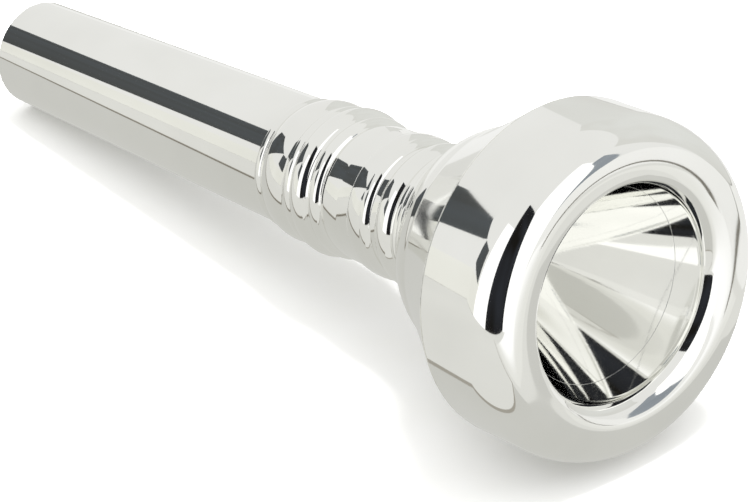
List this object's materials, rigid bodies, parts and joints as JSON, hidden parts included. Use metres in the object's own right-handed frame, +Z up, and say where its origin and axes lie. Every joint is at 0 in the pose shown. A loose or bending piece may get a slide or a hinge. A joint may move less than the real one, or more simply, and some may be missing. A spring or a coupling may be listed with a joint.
{
  "type": "brass instrument mouthpiece",
  "caption": "Cornet-size mouthpiece with rolled rim, deep funnel cup, turned rings and tapered shank, in screwed pieces, silver plated.",
  "frame": {"origin": "on the plane that the mouthpiece lies on, under the middle of its box", "axes": "+Z up; the axis of the mouthpiece lies in the XZ plane, 7.9 degrees from level, with the rim towards +X and higher and the small end towards -X"},
  "size_m": [0.0736, 0.0266, 0.027],
  "materials": {
    "silver_plate": "brass with bright silver plate, mirror polished"
  },
  "bodies": {
    "stem": {"stem": "silver_plate"},
    "cup": {"cup": "silver_plate"},
    "rim": {"rim": "silver_plate"}
  },
  "joints": [
    {"name": "cup_unscrew", "type": "slide", "parent": "stem", "child": "cup", "axis": [0.9904, 0, 0.1381], "range_m": [0, 0.008]},
    {"name": "rim_unscrew", "type": "slide", "parent": "cup", "child": "rim", "axis": [0.9904, 0, 0.1381], "range_m": [0, 0.008]}
  ]
}
